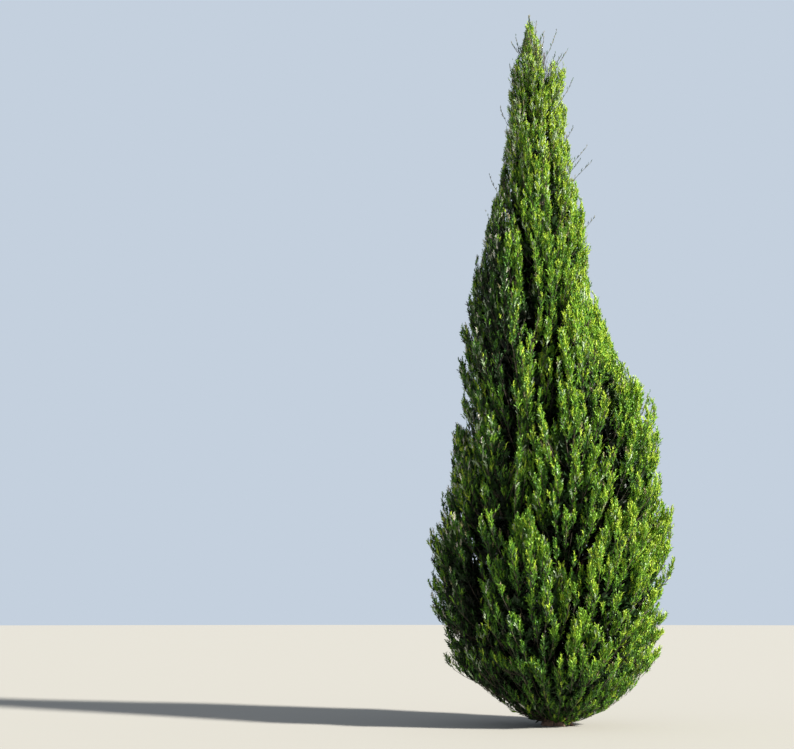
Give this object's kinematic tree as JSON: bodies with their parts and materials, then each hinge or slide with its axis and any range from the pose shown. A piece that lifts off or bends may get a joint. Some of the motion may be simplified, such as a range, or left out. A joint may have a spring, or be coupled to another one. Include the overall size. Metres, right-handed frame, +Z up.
{
  "type": "eastern red cedar tree",
  "caption": "Whole eastern red cedar: a leaning tapered trunk on a root flare, ascending boughs, and a dense flame-shaped crown of upright plumes of scale-leaf sprays.",
  "frame": {"origin": "on level ground, at the centre of the trunk's flat cut", "axes": "+Z up, +X to the right and +Y away, as the tree is seen in the picture"},
  "size_m": [3.322, 3.2735, 9.5],
  "materials": {
    "bark": "matt, fibrous, in reddish-brown and grey strips",
    "needles": "matt to satin green scale leaves"
  },
  "bodies": {
    "root": {"trunk": "bark", "bough_skirt_1": "bark", "bough_skirt_2": "bark", "bough_skirt_3": "bark", "bough_skirt_4": "bark", "bough_low_1": "bark", "bough_low_2": "bark", "bough_low_3": "bark", "bough_low_4": "bark", "bough_low_5": "bark", "bough_low_6": "bark", "bough_low_7": "bark", "bough_shoulder_1": "bark", "bough_shoulder_2": "bark", "bough_shoulder_3": "bark", "bough_shoulder_4": "bark", "bough_shoulder_5": "bark", "bough_shoulder_6": "bark", "bough_shoulder_7": "bark", "bough_middle_1": "bark", "bough_middle_2": "bark", "bough_middle_3": "bark", "bough_middle_4": "bark", "bough_middle_5": "bark", "bough_upper_1": "bark", "bough_upper_2": "bark", "bough_upper_3": "bark", "bough_upper_4": "bark", "foliage_skirt_1": "needles", "foliage_skirt_2": "needles", "foliage_skirt_3": "needles", "foliage_skirt_4": "needles", "foliage_low_1": "needles", "foliage_low_2": "needles", "foliage_low_3": "needles", "foliage_low_4": "needles", "foliage_low_5": "needles", "foliage_low_6": "needles", "foliage_low_7": "needles", "foliage_shoulder_1": "needles", "foliage_shoulder_2": "needles", "foliage_shoulder_3": "needles", "foliage_shoulder_4": "needles", "foliage_shoulder_5": "needles", "foliage_shoulder_6": "needles", "foliage_shoulder_7": "needles", "foliage_middle_1": "needles", "foliage_middle_2": "needles", "foliage_middle_3": "needles", "foliage_middle_4": "needles", "foliage_middle_5": "needles", "foliage_upper_1": "needles", "foliage_upper_2": "needles", "foliage_upper_3": "needles", "foliage_upper_4": "needles", "foliage_top_1": "needles", "foliage_top_2": "needles", "foliage_top_3": "needles", "foliage_leader": "needles"}
  },
  "joints": []
}
